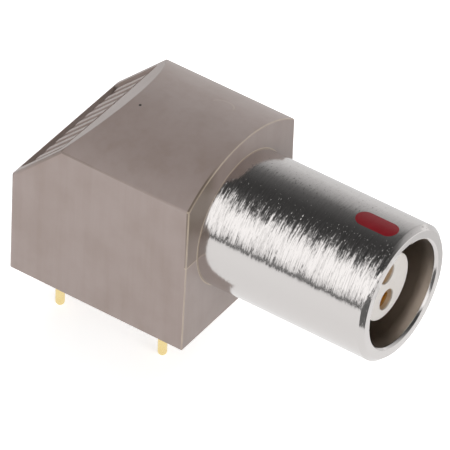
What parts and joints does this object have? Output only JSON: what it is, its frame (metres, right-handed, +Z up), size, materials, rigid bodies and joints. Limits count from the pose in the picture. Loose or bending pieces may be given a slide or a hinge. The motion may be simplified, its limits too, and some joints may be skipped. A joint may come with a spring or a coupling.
{
  "type": "right-angle circular connector socket",
  "caption": "Right-angle circular push-pull connector socket: metal barrel in a moulded elbow housing with solder pins below for a circuit board.",
  "frame": {"origin": "centre of the four ground pins, on the plane where the housing sits on the board", "axes": "+X along the barrel and out of its mouth, +Z up from the board, +Y to the right of someone who looks along +X"},
  "size_m": [0.0245, 0.0112, 0.0155],
  "materials": {
    "housing_plastic": "matte taupe moulding",
    "shell_nickel": "satin nickel with turning marks",
    "spring_nickel": "plain nickel plating",
    "mark_red": "dark red enamel",
    "insulator": "off-white",
    "contact_gold": "gilt",
    "pin_gold": "pale gilt"
  },
  "bodies": {
    "root": {"housing": "housing_plastic", "base_plate": "housing_plastic", "outer_shell": "shell_nickel", "index_mark": "mark_red", "earthing_crown": "spring_nickel", "insulator_front": "insulator", "insulator_rear": "insulator", "retaining_ring": "spring_nickel", "contact_upper": "contact_gold", "contact_lower": "contact_gold", "contact_tail_upper": "contact_gold", "contact_tail_lower": "contact_gold", "ground_pin_1": "pin_gold", "ground_pin_2": "pin_gold", "ground_pin_3": "pin_gold", "ground_pin_4": "pin_gold", "ground_plate": "spring_nickel", "tail_guide": "insulator"}
  },
  "joints": []
}
